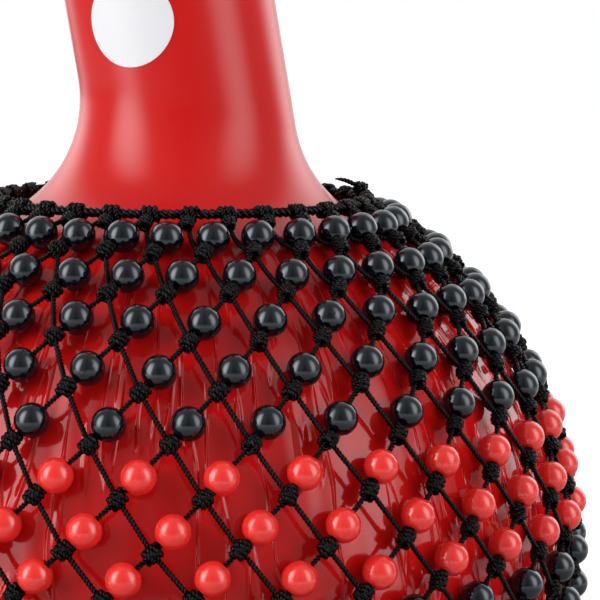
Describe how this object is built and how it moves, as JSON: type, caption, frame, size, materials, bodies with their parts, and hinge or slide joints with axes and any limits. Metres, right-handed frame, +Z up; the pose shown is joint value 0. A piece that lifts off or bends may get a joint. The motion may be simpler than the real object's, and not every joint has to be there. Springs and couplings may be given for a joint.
{
  "type": "shekere",
  "caption": "Gourd-shaped glossy shell with an open neck, wrapped in a knotted cord net of round beads that turns about the body to rattle.",
  "frame": {"origin": "centre of the flat base that the shell stands on", "axes": "+Z up the body towards the neck, -Y towards the viewer of the picture, +X to the viewer's right"},
  "size_m": [0.2622, 0.2622, 0.3534],
  "materials": {
    "shell_red": "glossy lacquered fibreglass",
    "label_white": "plain sticker",
    "bead_black": "polished",
    "bead_red": "polished",
    "cord_black": "twisted cord"
  },
  "bodies": {
    "gourd": {"gourd_shell": "shell_red", "label_disc": "label_white"},
    "net": {"collar_cord": "cord_black", "collar_hitches": "cord_black", "collar_tie": "cord_black", "bottom_cord": "cord_black", "bottom_hitches": "cord_black", "bottom_tie": "cord_black", "net_row_01": "cord_black", "net_row_02": "cord_black", "net_row_03": "cord_black", "net_row_04": "cord_black", "net_row_05": "cord_black", "net_row_06": "cord_black", "net_row_07": "cord_black", "net_row_08": "cord_black", "net_row_09": "cord_black", "net_row_10": "cord_black", "net_row_11": "cord_black", "net_row_12": "cord_black", "net_row_13": "cord_black", "net_row_14": "cord_black", "net_row_15": "cord_black", "net_row_16": "cord_black", "net_row_17": "cord_black", "bead_row_01": "bead_black", "bead_row_02": "bead_black", "bead_row_03": "bead_black", "bead_row_04": "bead_black", "bead_row_05": "bead_black", "bead_row_06": "bead_red", "bead_row_07": "bead_red", "bead_row_08": "bead_red", "bead_row_09": "bead_black", "bead_row_10": "bead_black", "bead_row_11": "bead_black", "bead_row_12": "bead_black", "bead_row_13": "bead_black", "bead_row_14": "bead_black", "bead_row_15": "bead_black", "bead_row_16": "bead_black", "bead_row_17": "bead_black"}
  },
  "joints": [
    {"name": "net_twist", "type": "hinge", "parent": "gourd", "child": "net", "pos_m": [0, 0, 0.1123], "axis": [0, 0, 1], "continuous": true}
  ]
}
